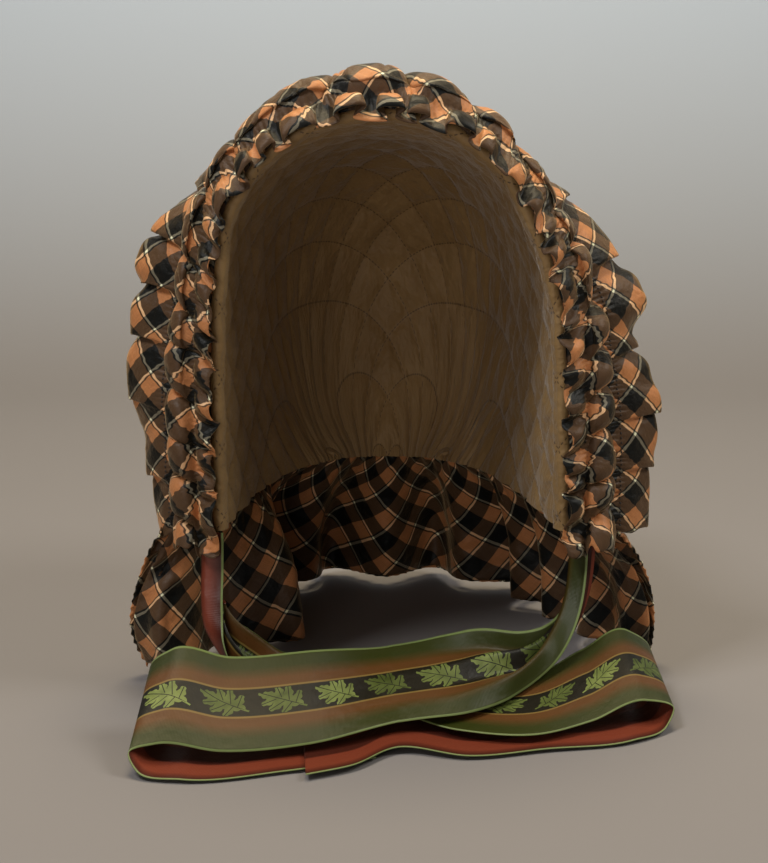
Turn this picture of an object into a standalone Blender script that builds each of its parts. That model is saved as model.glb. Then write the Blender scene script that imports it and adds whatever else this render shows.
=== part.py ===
"""A quilted silk hood with a ruched face edge, a neck curtain and two ribbon ties, held up as on a head.

Metres, +Z up, the face opening towards -Y. The origin is the top of the hollow, where the wearer's crown sits.
"""

import math

import bpy
import numpy as np

# Driving sizes

NECK_Z = -0.205  # the seam between hood and curtain
TABLE_Z = -0.295  # what the ties lie on
PADDING = 0.007  # the quilted wall: silk, wadding and backing
LINING_WALL = 0.0012
CLOTH_WALL = 0.0015  # gathered silk, two layers
RIBBON_WALL = 0.0010
RIBBON_WIDTH = 0.060
SEAM_GAP = 0.0003  # what neighbouring pieces keep between them
HEM_LIFT = 0.0065  # the curtain's hem over the table

# The hollow, as arches from the face opening to the nape. Each stands on two feet at the neck seam (foot_left
# and foot_right from the middle, at foot_y), and its apex is at apex_x, apex_y, apex_z. half is its half width.

ARCH_COLUMNS = ("name", "apex_x", "apex_y", "apex_z", "foot_y", "foot_left", "foot_right", "half", "square")
HOLLOW = (
    ("face edge", -0.005, -0.1145, 0.0195, -0.1050, 0.0925, 0.0955, 0.0930, 5.2),
    ("brow", -0.004, -0.0620, 0.0090, -0.0640, 0.0860, 0.0880, 0.0880, 4.8),
    ("ear", -0.002, 0.0000, 0.0000, -0.0220, 0.0790, 0.0790, 0.0820, 4.3),
    ("upper back", 0.0, 0.0540, -0.0190, 0.0140, 0.0690, 0.0690, 0.0790, 3.7),
    ("back", 0.0, 0.0920, -0.0600, 0.0400, 0.0580, 0.0580, 0.0730, 3.2),
    ("lower back", 0.0, 0.1040, -0.1120, 0.0540, 0.0480, 0.0480, 0.0640, 2.9),
    ("nape", 0.0, 0.0930, -0.1650, 0.0620, 0.0410, 0.0410, 0.0520, 2.6),
    ("neck seam", 0.0, 0.0780, NECK_Z, 0.0660, 0.0340, 0.0340, 0.0350, 2.2),
)

# The padded brim over it: a soft roll behind the face edge, which runs down into the plain wall at the ears.

BRIM_OUTSIDE = (
    ("face edge", -0.005, -0.1150, 0.0235, -0.1070, 0.0955, 0.0985, 0.0965, 5.2),
    ("inner stitches", -0.006, -0.1090, 0.0275, -0.1095, 0.1000, 0.1045, 0.1025, 4.7),
    ("roll front", -0.007, -0.0970, 0.0310, -0.1050, 0.1065, 0.1120, 0.1115, 3.6),
    ("outer stitches", -0.009, -0.0830, 0.0325, -0.0975, 0.1120, 0.1185, 0.1190, 2.95),
    ("roll back", -0.009, -0.0650, 0.0285, -0.0840, 0.1120, 0.1175, 0.1195, 2.85),
    ("roll foot", -0.006, -0.0400, 0.0210, -0.0620, 0.1040, 0.1070, 0.1090, 3.25),
    ("brow", -0.004, -0.0200, 0.0165, -0.0440, 0.0945, 0.0955, 0.0975, 3.9),
    ("ear", -0.002, 0.0000, 0.0075, -0.0220, 0.0862, 0.0862, 0.0895, 4.3),
)

SEAM_ROW = 2.0  # where in HOLLOW the brim meets the crown
QUILT_DEPTH = 0.0016  # how far the stitched lines sink into the padding
BRIM_CHANNELS = 3
CROWN_CHANNELS = 4

# The ruche's own arches, from its free edge at the face to its outer free edge. lift is how far the silk
# stands off the arch, swing is how much the gathers add to that, and lobes is how many of them there are.

RUCHE_COLUMNS = ARCH_COLUMNS + ("lift", "swing", "lobes")
RUCHE = (
    ("face edge", -0.005, -0.1240, 0.0165, -0.1165, 0.0900, 0.0945, 0.0905, 5.4, 0.0030, 0.0024, 34),
    ("inner stitches", -0.006, -0.1090, 0.0275, -0.1095, 0.1000, 0.1045, 0.1025, 4.7, 0.0028, 0.0002, 34),
    ("puff side", -0.0065, -0.1030, 0.0292, -0.1073, 0.1033, 0.1083, 0.1070, 3.95, 0.0068, 0.0018, 34),
    ("puff top", -0.007, -0.0970, 0.0310, -0.1050, 0.1065, 0.1120, 0.1115, 3.6, 0.0084, 0.0026, 34),
    ("puff side", -0.008, -0.0900, 0.0318, -0.1012, 0.1093, 0.1153, 0.1153, 3.2, 0.0068, 0.0018, 34),
    ("outer stitches", -0.009, -0.0830, 0.0325, -0.0975, 0.1120, 0.1185, 0.1190, 2.95, 0.0028, 0.0002, 34),
    ("flounce", -0.010, -0.0700, 0.0325, -0.0910, 0.1180, 0.1300, 0.1345, 2.7, 0.0044, 0.0036, 23),
    ("flounce edge", -0.013, -0.0570, 0.0310, -0.0840, 0.1210, 0.1410, 0.1490, 2.6, 0.0030, 0.0056, 23),
)
LOBE_DRIFT = ((3.0, 0.45, 0.6), (7.0, 0.30, 2.1), (11.0, 0.18, 4.0))  # cycles, radians, phase

# How much further out or in the flounce stands along the face edge, as shares of its width: at is the place
# along the edge and spread is how far to both sides it holds.

REACH_COLUMNS = ("name", "at", "spread", "change")
REACH = (
    ("left side, full", 0.125, 0.035, 0.27),
    ("left side, a little full", 0.180, 0.020, 0.12),
    ("left side, out above", 0.245, 0.022, 0.38),
    ("left shoulder, tucked behind", 0.345, 0.075, -0.66),
    ("right shoulder, tucked behind", 0.630, 0.065, -0.60),
    ("right side, out above", 0.795, 0.020, 0.35),
    ("right side, drawn in", 0.850, 0.030, -0.22),
    ("right side, full", 0.905, 0.025, 0.12),
)

# The neck seam seen from above, from the left front corner to the middle of the nape.

SEAM_COLUMNS = ("x", "y")
SEAM = (
    (-0.1160, -0.0985),
    (-0.1065, -0.0820),
    (-0.0985, -0.0640),
    (-0.0905, -0.0420),
    (-0.0835, -0.0200),
    (-0.0750, 0.0100),
    (-0.0640, 0.0360),
    (-0.0520, 0.0560),
    (-0.0380, 0.0710),
    (-0.0200, 0.0800),
    (0.0000, 0.0815),
)

# The curtain's hem seen from above, from the left front corner round the nape to the right front corner.
# share is the place along the neck seam, and belly is how far the cloth stands out above it.

HEM_COLUMNS = ("name", "share", "x", "y", "belly")
HEM = (
    ("left front corner", 0.000, -0.136, -0.083, 0.008),
    ("left front crest", 0.050, -0.120, -0.092, 0.007),
    ("left front side", 0.095, -0.107, -0.078, 0.004),
    ("left front valley", 0.135, -0.100, -0.050, 0.0),
    ("left flap front", 0.175, -0.080, -0.046, 0.002),
    ("left flap crest", 0.220, -0.051, -0.038, 0.002),
    ("left flap back", 0.265, -0.060, -0.008, 0.0),
    ("left side valley", 0.310, -0.100, 0.010, 0.0),
    ("left side crest", 0.350, -0.084, 0.042, 0.0),
    ("left back valley", 0.390, -0.098, 0.078, 0.004),
    ("left back crest", 0.430, -0.052, 0.084, 0.0),
    ("back valley", 0.470, -0.036, 0.116, 0.004),
    ("back crest", 0.505, -0.002, 0.094, 0.0),
    ("right back valley", 0.545, 0.030, 0.118, 0.004),
    ("right back crest", 0.585, 0.048, 0.086, 0.0),
    ("right side valley", 0.630, 0.090, 0.080, 0.004),
    ("right side crest", 0.675, 0.079, 0.046, 0.0),
    ("right side valley", 0.720, 0.107, 0.030, 0.0),
    ("right flap crest", 0.765, 0.094, 0.006, 0.0),
    ("right flap valley", 0.815, 0.119, -0.006, 0.0),
    ("right front crest", 0.865, 0.113, -0.030, 0.002),
    ("right front valley", 0.910, 0.128, -0.042, 0.003),
    ("right corner crest", 0.955, 0.134, -0.062, 0.002),
    ("right front corner", 1.000, 0.148, -0.062, 0.002),
)

CURTAIN_RUCHE_WIDTH = 0.014
CURTAIN_RUCHE_PAST = (0.006, 0.0015)  # how far it stands past the front edges and past the hem
CURTAIN_RUCHE_LIFT = 0.0038
CURTAIN_RUCHE_SWING = 0.0014

# The ties, from the hood's corners to their cut ends. x, y, z is the front edge of the ribbon; lean and turn
# say which way its width runs from there (lean up from the table, turn from straight back towards the right).
# pleat folds the ribbon lengthwise into its panels, from 0, flat, to 1, shut.

PLEAT_PANELS = 5
TIE_COLUMNS = ("name", "x", "y", "z", "lean", "turn", "pleat")
RIGHT_TIE = (
    ("under the corner", 0.1025, -0.1110, -0.2090, 0, 20, 0.84),
    ("hanging", 0.1020, -0.1130, -0.2240, 0, 20, 0.84),
    ("hanging", 0.0995, -0.1200, -0.2400, 0, 18, 0.84),
    ("hanging lower", 0.0930, -0.1320, -0.2550, 6, 14, 0.80),
    ("turning forward", 0.0845, -0.1430, -0.2660, 14, 6, 0.70),
    ("opening out", 0.0745, -0.1540, -0.2730, 18, -4, 0.50),
    ("over the left tie", 0.0630, -0.1670, -0.2775, 24, -14, 0.24),
    ("over the left tie", 0.0430, -0.1790, -0.2815, 24, -10, 0.05),
    ("across the front", 0.0060, -0.1880, -0.2845, 22, -6, 0.0),
    ("across the front", -0.0400, -0.211, -0.2880, 33, 0, 0.0),
    ("before the loop", -0.0830, -0.221, -0.2880, 33, 2, 0.0),
    ("loop top", -0.1150, -0.224, -0.2830, 33, 4, 0.0),
    ("loop end", -0.1275, -0.229, -0.2855, 24, 5, 0.0),
    ("loop bottom", -0.1225, -0.237, -0.2925, 8, 5, 0.0),
    ("lower layer", -0.1000, -0.243, -0.2942, 1, 4, 0.0),
    ("lower layer", -0.0500, -0.231, -0.2945, 0, 2, 0.0),
    ("cut end", -0.0060, -0.213, -0.2945, 0, 0, 0.0),
)
LEFT_TIE = (
    ("under the corner", -0.0945, -0.1120, -0.2090, 0, -8, 0.86),
    ("hanging", -0.0945, -0.1150, -0.2260, 0, -8, 0.87),
    ("hanging lower", -0.0945, -0.1230, -0.2420, 8, -4, 0.84),
    ("turning in", -0.0920, -0.1330, -0.2600, 36, 0, 0.64),
    ("opening out", -0.0800, -0.1430, -0.2780, 37, 2, 0.42),
    ("behind the right tie", -0.0600, -0.1500, -0.2870, 18, 0, 0.20),
    ("behind the right tie", -0.0340, -0.1560, -0.2890, 10, 0, 0.04),
    ("behind the right tie", -0.0040, -0.160, -0.2880, 10, 0, 0.0),
    ("under the right tie", 0.0360, -0.188, -0.2890, 8, 4, 0.0),
    ("across to the right", 0.0740, -0.195, -0.2890, 12, 4, 0.0),
    ("before the loop", 0.1050, -0.178, -0.2880, 20, 0, 0.0),
    ("loop top", 0.1350, -0.166, -0.2810, 20, -4, 0.0),
    ("loop end", 0.1490, -0.167, -0.2845, 12, -5, 0.0),
    ("loop bottom", 0.1450, -0.174, -0.2920, 4, -5, 0.0),
    ("lower layer", 0.1250, -0.190, -0.2942, 0, -4, 0.0),
    ("lower layer", 0.0800, -0.202, -0.2942, 0, 0, 0.0),
    ("lower layer", 0.0400, -0.212, -0.2940, 0, 2, 0.0),
    ("raised a little", 0.0060, -0.204, -0.2924, 2, 2, 0.0),
    ("over the lower layer", -0.0180, -0.228, -0.2928, 0, 0, 0.0),
    ("cut end", -0.0400, -0.240, -0.2928, 0, -4, 0.0),
)

# Colours and finishes

LOOKS = {
    "plaid_silk": ((0.23, 0.14, 0.09), 0.42),
    "gold_lining": ((0.34, 0.20, 0.08), 0.55),
    "green_ribbon": ((0.10, 0.13, 0.05), 0.38),
}


def column(rows, names, name):
    """One named column of a table."""
    return np.array([row[names.index(name)] for row in rows], float)


def unit(vectors):
    """The same vectors with length 1."""
    return vectors / np.maximum(np.linalg.norm(vectors, axis=-1, keepdims=True), 1e-12)


def smooth(keys, values, at):
    """A smooth curve through the values at the keys, read at the places in at."""
    keys, values, at = (np.asarray(x, float) for x in (keys, values, at))
    slope = np.gradient(values, keys, axis=0)
    i = np.clip(np.searchsorted(keys, at, side="right") - 1, 0, len(keys) - 2)
    step = keys[i + 1] - keys[i]
    t = np.clip((at - keys[i]) / step, 0, 1)
    if values.ndim == 2:
        t, step = t[:, None], step[:, None]
    rise = (2 * t**3 - 3 * t**2 + 1) * values[i] + (3 * t**2 - 2 * t**3) * values[i + 1]
    return rise + step * ((t**3 - 2 * t**2 + t) * slope[i] + (t**3 - t**2) * slope[i + 1])


def length_along(points):
    """How far along an open line each of its points is."""
    return np.concatenate([[0], np.cumsum(np.linalg.norm(np.diff(points, axis=0), axis=1))])


def stations_on(points, count, bends):
    """Where on an open line count points go, in points: evenly or, with bends, closer where it turns."""
    run = length_along(points)
    heading = unit(np.diff(points, axis=0))
    turned = np.arccos(np.clip((heading[:-1] * heading[1:]).sum(axis=1), -1, 1))
    turned = np.concatenate([[0], np.cumsum(turned), [turned.sum()]])
    measure = (1 - bends) * run / run[-1] + bends * turned / turned[-1]
    return np.interp(np.linspace(0, 1, count), measure, np.arange(len(points)))


def evenly(points, count, bends=0.0):
    """The same open line with count points."""
    at = stations_on(points, count, bends)
    return np.stack([np.interp(at, np.arange(len(points)), points[:, k]) for k in range(3)], axis=1)


def arch(apex_x, apex_y, apex_z, foot_y, foot_left, foot_right, half, square):
    """One arch from the left foot over the apex to the right foot, as a fine line of points."""
    angle = np.linspace(math.pi, 0, 361)
    rise = np.abs(np.sin(angle)) ** (2 / square)
    foot = np.where(angle > math.pi / 2, foot_left, foot_right)
    sway = apex_x * np.clip((rise - 0.4) / 0.35, 0, 1) ** 2
    across = (half + (foot - half) * (1 - rise) ** 2) * np.cos(angle) + sway
    return np.stack(
        [across, foot_y + (apex_y - foot_y) * rise, NECK_Z + (apex_z - NECK_Z) * rise], axis=1
    )


def arches(rows, places, columns, bends=0.5):
    """The arches of a table at the places along it, as a grid of points."""
    sizes = np.array([row[1 : len(ARCH_COLUMNS)] for row in rows], float)
    at = smooth(np.arange(len(rows)), sizes, places)
    return np.array([evenly(arch(*here), columns, bends) for here in at])


def outwards(grid):
    """The unit normal at each point of a grid, on the side away from the hollow."""
    normal = unit(np.cross(np.gradient(grid, axis=1), np.gradient(grid, axis=0)))
    middle = np.array([0.0, -0.01, -0.11])
    return normal * np.sign(((grid - middle) * normal).sum())


def level(vectors):
    """The same directions turned to the horizontal."""
    return unit(vectors * np.array([1.0, 1.0, 0.0]))


def on_seam(grid):
    """The same grid with its feet, the first and the last column, on the neck seam and nothing below it."""
    grid = grid.copy()
    grid[:, :, 2] = np.maximum(grid[:, :, 2], NECK_Z)
    grid[:, [0, -1], 2] = NECK_Z
    return grid


def skin(front, back):
    """Points and faces of the closed body between two grids of the same size."""
    rows, columns = front.shape[:2]
    points = np.concatenate([front.reshape(-1, 3), back.reshape(-1, 3)])
    half = rows * columns
    corner = np.arange(half).reshape(rows, columns)
    faces = []
    for i in range(rows - 1):
        for j in range(columns - 1):
            quad = (corner[i, j], corner[i, j + 1], corner[i + 1, j + 1], corner[i + 1, j])
            faces.append(tuple(int(k) for k in quad))
            faces.append(tuple(int(half + k) for k in (quad[0], *quad[:0:-1])))
    ring = np.concatenate(
        [corner[0], corner[1:, -1], corner[-1, -2::-1], corner[-2:0:-1, 0]]
    )
    for here, after in zip(ring, np.roll(ring, -1)):
        faces.append((int(after), int(here), int(half + here), int(half + after)))
    return points, faces


def material(name):
    """The Principled material of one slot."""
    made = bpy.data.materials.get(name)
    if made:
        return made
    colour, roughness = LOOKS[name]
    made = bpy.data.materials.new(name)
    made.use_nodes = True
    shader = made.node_tree.nodes["Principled BSDF"]
    shader.inputs["Base Color"].default_value = (*colour, 1.0)
    shader.inputs["Roughness"].default_value = roughness
    shader.inputs["Metallic"].default_value = 0.0
    return made


def solid(name, points, faces, slot):
    """An object of the closed mesh, with its faces pointing out."""
    quads = points[np.array(faces)]
    a, b, c, d = (quads[:, k] for k in range(4))
    volume = (a * (np.cross(b, c) + np.cross(c, d))).sum()
    if volume < 0:
        faces = [tuple(reversed(face)) for face in faces]
    mesh = bpy.data.meshes.new(name)
    mesh.from_pydata(points.tolist(), [], faces)
    mesh.materials.append(material(slot))
    mesh.shade_smooth()
    mesh.set_sharp_from_angle(angle=math.radians(60))
    made = bpy.data.objects.new(name, mesh)
    bpy.context.scene.collection.objects.link(made)
    return made


# The padded body


def quilting(rows, channels):
    """How deep each row of a padded grid lies under the crowns of its channels."""
    share = np.linspace(0, 1, rows)
    return QUILT_DEPTH * np.abs(np.cos(math.pi * channels * share)) ** 4


def brim():
    """The padded front of the hood, with the soft roll that carries the ruche."""
    columns, rows = 31, 12
    outside = arches(BRIM_OUTSIDE, np.linspace(0, len(BRIM_OUTSIDE) - 1, rows), columns)
    inside = arches(HOLLOW, np.linspace(0, SEAM_ROW, rows), columns)
    depth = quilting(rows, BRIM_CHANNELS)
    depth[: rows // 2] = 0
    outside = on_seam(outside - outwards(outside) * depth[:, None, None])
    inside = on_seam(inside)
    inside[-1, :, 1] -= SEAM_GAP
    outside[-1, :, 1] -= SEAM_GAP
    return solid("brim", *skin(outside, inside), "plaid_silk")


def crown():
    """The padded back of the hood, from the seam over the ears to the nape."""
    columns, rows = 31, 10
    inside = arches(HOLLOW, np.linspace(SEAM_ROW, len(HOLLOW) - 1, rows), columns)
    away = outwards(inside)
    away[:, [0, -1]] = level(away[:, [0, -1]])
    away[-1] = level(away[-1])
    thickness = PADDING - quilting(rows, CROWN_CHANNELS)
    outside = inside + away * thickness[:, None, None]
    return solid("crown", *skin(on_seam(outside), on_seam(inside)), "plaid_silk")


def lining():
    """The gold silk that faces the hollow, inside brim and crown."""
    behind = np.linspace(SEAM_ROW, len(HOLLOW) - 1, 10)
    wall = arches(HOLLOW, np.concatenate([np.linspace(0.0, SEAM_ROW, 4)[:-1], behind]), 31)
    away = outwards(wall)
    away[:, [0, -1]] = level(away[:, [0, -1]])
    away[-1] = level(away[-1])
    outer = on_seam(wall - away * 4 * SEAM_GAP)
    inner = on_seam(wall - away * (4 * SEAM_GAP + LINING_WALL))
    return solid("lining", *skin(outer, inner), "gold_lining")


# The ruche round the face


def gathers(share, lobes):
    """The gathers' phase along an edge, with lobes of uneven length."""
    phase = 2 * math.pi * lobes * share
    for cycles, radians, start in LOBE_DRIFT:
        phase = phase + radians * np.sin(2 * math.pi * cycles * share + start)
    return phase


def reached(base, hinge, share):
    """The ruche's base with the rows past its hinge drawn out or in, as REACH says."""
    at, spread, change = (column(REACH, REACH_COLUMNS, key)[:, None] for key in REACH_COLUMNS[1:])
    scale = 1 + (change * np.exp(-(((share[None, :] - at) / spread) ** 4))).sum(axis=0)
    made = base.copy()
    for axis in (0, 2):
        made[hinge:, :, axis] = base[hinge, :, axis] + (base[hinge:, :, axis] - base[hinge, :, axis]) * scale
    return made


def face_ruche():
    """The gathered strip round the face: a ruffle, a puff and a flounce between two stitched rows."""
    columns = 109
    share = np.linspace(0, 1, columns)
    base = reached(arches(RUCHE, np.arange(len(RUCHE)), columns, bends=0.0), 5, share)
    away = outwards(base)
    lift, swing, lobes = (column(RUCHE, RUCHE_COLUMNS, key) for key in RUCHE_COLUMNS[-3:])
    wave = np.sin(gathers(share[None, :], lobes[:, None]))
    height = lift[:, None] + swing[:, None] * wave
    front = base + away * height[:, :, None]
    back = front - away * CLOTH_WALL
    return solid("face_ruche", *skin(on_seam(front), on_seam(back)), "plaid_silk")


# The curtain


def seam_line(share):
    """Points on the neck seam, in the middle of the padded wall, at the shares of its length."""
    left = np.array([(x, y, NECK_Z - SEAM_GAP) for x, y in SEAM])
    right = left[-2::-1] * np.array([-1.0, 1.0, 1.0])
    line = np.concatenate([left, right])
    run = length_along(line)
    return smooth(run / run[-1], line, share)


def hem_line(share):
    """Points on the curtain's hem at the shares of the neck seam."""
    keys = column(HEM, HEM_COLUMNS, "share")
    x = smooth(keys, column(HEM, HEM_COLUMNS, "x"), share)
    y = smooth(keys, column(HEM, HEM_COLUMNS, "y"), share)
    return np.stack([x, y, np.full(len(share), TABLE_Z + HEM_LIFT)], axis=1)


def curtain_points(share, down):
    """Points in the middle of the curtain's cloth, at shares of the seam and of the way down to the hem."""
    top, hem = seam_line(share), hem_line(share)
    spread = 1 - (1 - np.abs(down)) ** 2.4
    made = top + (hem - top) * spread[:, None]
    belly = smooth(column(HEM, HEM_COLUMNS, "share"), column(HEM, HEM_COLUMNS, "belly"), share)
    made = made + level(hem) * (belly * np.sin(math.pi * np.clip(down, 0, 1) ** 1.6))[:, None]
    made[:, 2] = top[:, 2] + (hem - top)[:, 2] * down
    return made


def curtain_frame(share, down):
    """Points of the curtain and the unit normals there, pointing out."""
    step = 0.004
    here = curtain_points(share, down)
    along = curtain_points(np.clip(share + step, 0, 1), down) - curtain_points(np.clip(share - step, 0, 1), down)
    below = curtain_points(share, np.clip(down + step, 0, 1)) - curtain_points(share, np.clip(down - step, 0, 1))
    return here, unit(np.cross(along, below))


def hem_shares(count):
    """Shares of the neck seam, closer together where the hem turns."""
    fine = np.linspace(0, 1, 961)
    return stations_on(hem_line(fine), count, 0.6) / 960


def curtain():
    """The gathered neck curtain, a wall of silk with deep folds."""
    columns, rows = 93, 5
    share, down = np.meshgrid(hem_shares(columns), np.linspace(0, 1, rows))
    middle, away = curtain_frame(share.ravel(), down.ravel())
    middle, away = middle.reshape(rows, columns, 3), away.reshape(rows, columns, 3)
    away[0] = level(away[0])
    half = CLOTH_WALL / 2
    return solid("curtain", *skin(middle + away * half, middle - away * half), "plaid_silk")


def border_path(inset, count):
    """Shares and depths along the curtain's border: down the left front edge, round the hem, up the right."""
    depth = abs(NECK_Z - TABLE_Z) - HEM_LIFT
    side, low = 0.022 * inset / CURTAIN_RUCHE_WIDTH, 1 - inset / depth
    corners = np.array([(side, 0.1), (side, low), (1 - side, low), (1 - side, 0.1)])
    stops = np.array([0.0, 0.13, 0.87, 1.0])
    sides = round(count * stops[1])
    at = np.concatenate(
        [
            np.linspace(0, stops[1], sides)[:-1],
            stops[1] + (stops[2] - stops[1]) * hem_shares(count - 2 * sides + 2),
            np.linspace(stops[2], 1, sides)[1:],
        ]
    )
    return np.interp(at, stops, corners[:, 0]), np.interp(at, stops, corners[:, 1])


def curtain_ruche():
    """The narrow ruched strip along the curtain's front edges and hem, on its outside."""
    columns = 101
    wave = np.sin(2 * math.pi * 25 * np.linspace(0, 1, columns))
    outer, inner = [], []
    edge = curtain_points(*border_path(0.0, columns))
    on_hem = (border_path(0.0, columns)[1] > 0.999)[:, None]
    past = unit(edge - curtain_points(*border_path(0.004, columns))) * np.where(on_hem, *CURTAIN_RUCHE_PAST[::-1])
    for across, rise in ((0.0, 0.0), (0.5, 1.0), (1.0, 0.0)):
        share, down = border_path(across * CURTAIN_RUCHE_WIDTH, columns)
        line, away = curtain_frame(share, down)
        line = line + past * (1 - across)
        lift = CLOTH_WALL / 2 + 7 * SEAM_GAP + rise * (CURTAIN_RUCHE_LIFT + CURTAIN_RUCHE_SWING * wave)
        inner.append(line + away * lift[:, None])
        outer.append(line + away * (lift + CLOTH_WALL)[:, None])
    return solid("curtain_ruche", *skin(np.array(outer), np.array(inner)), "plaid_silk")


# The ties


def ribbon_grid(rows, stations, across, side):
    """Points over a ribbon's width, station by station, with its pleat towards one side."""
    names = TIE_COLUMNS
    front = np.stack([column(rows, names, key) for key in ("x", "y", "z")], axis=1)
    keys = length_along(front)
    at = np.linspace(0, keys[-1], stations)
    line = smooth(keys, front, at)
    lean, turn, pleat = (smooth(keys, column(rows, names, key), at) for key in names[-3:])
    lean, turn = np.radians(lean), np.radians(turn)
    width = np.stack(
        [np.cos(lean) * np.sin(turn), np.cos(lean) * np.cos(turn), np.sin(lean)], axis=1
    )
    normal = unit(np.cross(np.gradient(line, axis=0), width))
    fold = np.arccos(1 - 0.92 * np.clip(pleat, 0, 1))[:, None]
    share = np.linspace(0, 1, across)
    step = RIBBON_WIDTH / (across - 1)
    zigzag = side * np.sign(np.sin(PLEAT_PANELS * math.pi * (share[1:] + share[:-1]) / 2))[None, :]
    start = np.zeros((stations, 1))
    over = np.hstack([start, np.cumsum(step * np.cos(fold) * np.ones_like(zigzag), axis=1)])
    out = np.hstack([start, np.cumsum(step * np.sin(fold) * zigzag, axis=1)])
    out = out - (out.max(axis=1, keepdims=True) + out.min(axis=1, keepdims=True)) / 2
    return line[:, None] + over[:, :, None] * width[:, None] + out[:, :, None] * normal[:, None]


def tie(name, rows, stations, side):
    """A ribbon tie from the hood's corner, where it is sewn under the neck seam, to its cut end."""
    grid = ribbon_grid(rows, stations, PLEAT_PANELS + 1, side)
    grid[0, :, 2] = NECK_Z - SEAM_GAP
    away = unit(np.cross(np.gradient(grid, axis=1), np.gradient(grid, axis=0)))
    away[0] = level(away[0])
    half = RIBBON_WALL / 2
    return solid(name, *skin(grid + away * half, grid - away * half), "green_ribbon")


def main():
    for old in list(bpy.data.objects):
        bpy.data.objects.remove(old)
    brim()
    crown()
    lining()
    face_ruche()
    curtain()
    curtain_ruche()
    tie("tie_right", RIGHT_TIE, 38, -1)
    tie("tie_left", LEFT_TIE, 42, -1)


main()
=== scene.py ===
"""The looks of the quilted hood: plaid silk, quilted lining, figured ribbons, and the room.

Metres, +Z up, the face opening towards -Y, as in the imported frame.
"""

import math

import bpy
import numpy as np
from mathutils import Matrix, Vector


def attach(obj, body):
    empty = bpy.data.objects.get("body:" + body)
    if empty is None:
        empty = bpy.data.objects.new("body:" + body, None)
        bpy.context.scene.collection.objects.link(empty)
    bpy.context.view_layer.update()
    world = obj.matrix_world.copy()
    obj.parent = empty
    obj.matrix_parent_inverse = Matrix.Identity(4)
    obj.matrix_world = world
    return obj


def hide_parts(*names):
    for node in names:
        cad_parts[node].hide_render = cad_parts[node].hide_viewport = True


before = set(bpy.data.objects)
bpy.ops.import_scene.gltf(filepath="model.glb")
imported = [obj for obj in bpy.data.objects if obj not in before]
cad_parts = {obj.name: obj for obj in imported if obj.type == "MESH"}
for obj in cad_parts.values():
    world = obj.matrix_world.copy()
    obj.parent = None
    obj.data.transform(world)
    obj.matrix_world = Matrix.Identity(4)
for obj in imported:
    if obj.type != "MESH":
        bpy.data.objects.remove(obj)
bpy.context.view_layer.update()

# Sizes shared with the solids

NECK_Z = -0.205  # the seam between hood and curtain
TABLE_Z = -0.295  # what the ties lie on
PADDING = 0.007
RIBBON_WIDTH = 0.060
SEAM_GAP = 0.0003
HEM_LIFT = 0.0065
SEAM_ROW = 2.0  # where in HOLLOW the brim meets the crown

ARCH_COLUMNS = ("name", "apex_x", "apex_y", "apex_z", "foot_y", "foot_left", "foot_right", "half", "square")
HOLLOW = (
    ("face edge", -0.005, -0.1145, 0.0195, -0.1050, 0.0925, 0.0955, 0.0930, 4.7),
    ("brow", -0.004, -0.0620, 0.0090, -0.0640, 0.0860, 0.0880, 0.0880, 4.8),
    ("ear", -0.002, 0.0000, 0.0000, -0.0220, 0.0790, 0.0790, 0.0820, 4.3),
    ("upper back", 0.0, 0.0540, -0.0190, 0.0140, 0.0690, 0.0690, 0.0790, 3.7),
    ("back", 0.0, 0.0920, -0.0600, 0.0400, 0.0580, 0.0580, 0.0730, 3.2),
    ("lower back", 0.0, 0.1040, -0.1120, 0.0540, 0.0480, 0.0480, 0.0640, 2.9),
    ("nape", 0.0, 0.0930, -0.1650, 0.0620, 0.0410, 0.0410, 0.0520, 2.6),
    ("neck seam", 0.0, 0.0780, NECK_Z, 0.0660, 0.0340, 0.0340, 0.0350, 2.2),
)
BRIM_OUTSIDE = (
    ("face edge", -0.005, -0.1150, 0.0235, -0.1070, 0.0955, 0.0985, 0.0965, 4.7),
    ("inner stitches", -0.006, -0.1090, 0.0275, -0.1095, 0.1000, 0.1045, 0.1025, 4.25),
    ("roll front", -0.007, -0.0970, 0.0310, -0.1050, 0.1065, 0.1120, 0.1115, 3.0),
    ("outer stitches", -0.009, -0.0830, 0.0325, -0.0975, 0.1120, 0.1185, 0.1190, 2.45),
    ("roll back", -0.009, -0.0650, 0.0285, -0.0840, 0.1120, 0.1175, 0.1195, 2.42),
    ("roll foot", -0.006, -0.0400, 0.0210, -0.0620, 0.1040, 0.1070, 0.1090, 3.05),
    ("brow", -0.004, -0.0200, 0.0165, -0.0440, 0.0945, 0.0955, 0.0975, 3.9),
    ("ear", -0.002, 0.0000, 0.0075, -0.0220, 0.0862, 0.0862, 0.0895, 4.3),
)
RUCHE_COLUMNS = ARCH_COLUMNS + ("lift", "puff", "lobe")
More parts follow.
